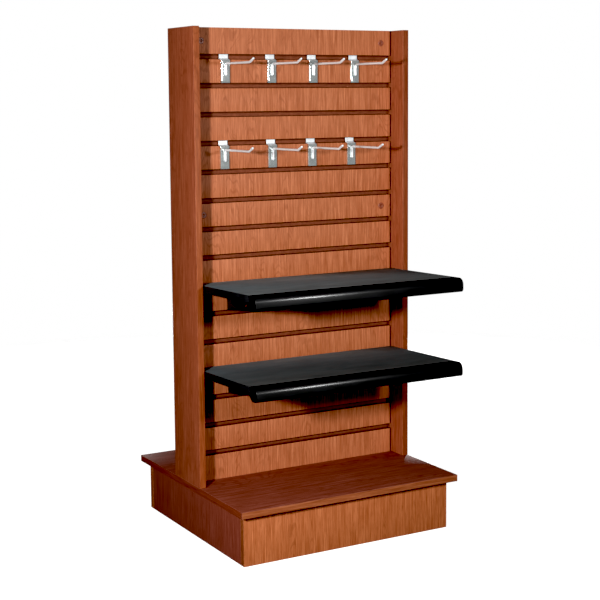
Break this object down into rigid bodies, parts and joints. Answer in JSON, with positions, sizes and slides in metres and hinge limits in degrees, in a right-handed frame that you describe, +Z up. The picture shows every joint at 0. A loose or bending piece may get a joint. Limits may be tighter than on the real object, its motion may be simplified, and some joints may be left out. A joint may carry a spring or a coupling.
{
  "type": "slatwall panel",
  "caption": "Free-standing two-way slatwall panel between end panels on a deck and plinth, with prong hooks and bullnose shelves on its front.",
  "frame": {"origin": "centre of the plinth's footprint, on the floor", "axes": "+X to the right seen from the dressed front, -Y out of the dressed front, +Z up"},
  "size_m": [0.666, 0.6931, 1.3716],
  "materials": {
    "cherry": "cherry wood-grain melamine",
    "cherry_deck": "darker cherry wood-grain melamine",
    "pine": "bare softwood",
    "zinc": "zinc plated",
    "chrome": "bright chrome plate",
    "black_laminate": "black laminate with a fine mottle",
    "black_nosing": "gloss black",
    "black_steel": "black powder coat",
    "brown_cam": "reddish-brown paint"
  },
  "bodies": {
    "carcass": {"base_front_panel": "cherry", "base_back_panel": "cherry", "base_left_panel": "cherry", "base_right_panel": "cherry", "base_center_rail": "cherry", "corner_blocks": "pine", "deck_cleats": "pine", "corner_block_screws": "zinc", "cleat_screws": "zinc", "deck": "cherry_deck", "left_upright": "cherry", "right_upright": "cherry", "upright_screws": "zinc", "slatwall_screws": "zinc", "front_slatwall": "cherry", "back_slatwall": "cherry", "front_cam_locks": "brown_cam", "front_cam_bolts": "zinc", "back_cam_locks": "brown_cam", "back_cam_bolts": "zinc"},
    "upper_shelf": {"upper_shelf_board": "black_laminate", "upper_shelf_nosing": "black_nosing", "upper_left_bracket": "black_steel", "upper_right_bracket": "black_steel", "upper_shelf_screws": "zinc"},
    "lower_shelf": {"lower_shelf_board": "black_laminate", "lower_shelf_nosing": "black_nosing", "lower_left_bracket": "black_steel", "lower_right_bracket": "black_steel", "lower_shelf_screws": "zinc"},
    "upper_hook_1": {"upper_hook_1_plate": "chrome", "upper_hook_1_wire": "chrome"},
    "upper_hook_2": {"upper_hook_2_plate": "chrome", "upper_hook_2_wire": "chrome"},
    "upper_hook_3": {"upper_hook_3_plate": "chrome", "upper_hook_3_wire": "chrome"},
    "upper_hook_4": {"upper_hook_4_plate": "chrome", "upper_hook_4_wire": "chrome"},
    "lower_hook_1": {"lower_hook_1_plate": "chrome", "lower_hook_1_wire": "chrome"},
    "lower_hook_2": {"lower_hook_2_plate": "chrome", "lower_hook_2_wire": "chrome"},
    "lower_hook_3": {"lower_hook_3_plate": "chrome", "lower_hook_3_wire": "chrome"},
    "lower_hook_4": {"lower_hook_4_plate": "chrome", "lower_hook_4_wire": "chrome"}
  },
  "joints": [
    {"name": "upper_hook_1_slide", "type": "slide", "parent": "carcass", "child": "upper_hook_1", "axis": [1, 0, 0], "range_m": [-0.0865, 0.0555]},
    {"name": "upper_hook_2_slide", "type": "slide", "parent": "carcass", "child": "upper_hook_2", "axis": [1, 0, 0], "range_m": [-0.0555, 0.0505]},
    {"name": "upper_hook_3_slide", "type": "slide", "parent": "carcass", "child": "upper_hook_3", "axis": [1, 0, 0], "range_m": [-0.0505, 0.0525]},
    {"name": "upper_hook_4_slide", "type": "slide", "parent": "carcass", "child": "upper_hook_4", "axis": [1, 0, 0], "range_m": [-0.0525, 0.1085]},
    {"name": "lower_hook_1_slide", "type": "slide", "parent": "carcass", "child": "lower_hook_1", "axis": [1, 0, 0], "range_m": [-0.0815, 0.058]},
    {"name": "lower_hook_2_slide", "type": "slide", "parent": "carcass", "child": "lower_hook_2", "axis": [1, 0, 0], "range_m": [-0.058, 0.048]},
    {"name": "lower_hook_3_slide", "type": "slide", "parent": "carcass", "child": "lower_hook_3", "axis": [1, 0, 0], "range_m": [-0.048, 0.049]},
    {"name": "lower_hook_4_slide", "type": "slide", "parent": "carcass", "child": "lower_hook_4", "axis": [1, 0, 0], "range_m": [-0.049, 0.1205]},
    {"name": "upper_shelf_tip", "type": "hinge", "parent": "carcass", "child": "upper_shelf", "pos_m": [0, -0.012, 0.6793], "axis": [-1, 0, 0], "range_deg": [0, 10]},
    {"name": "lower_shelf_tip", "type": "hinge", "parent": "carcass", "child": "lower_shelf", "pos_m": [0, -0.012, 0.4507], "axis": [-1, 0, 0], "range_deg": [0, 10]}
  ]
}
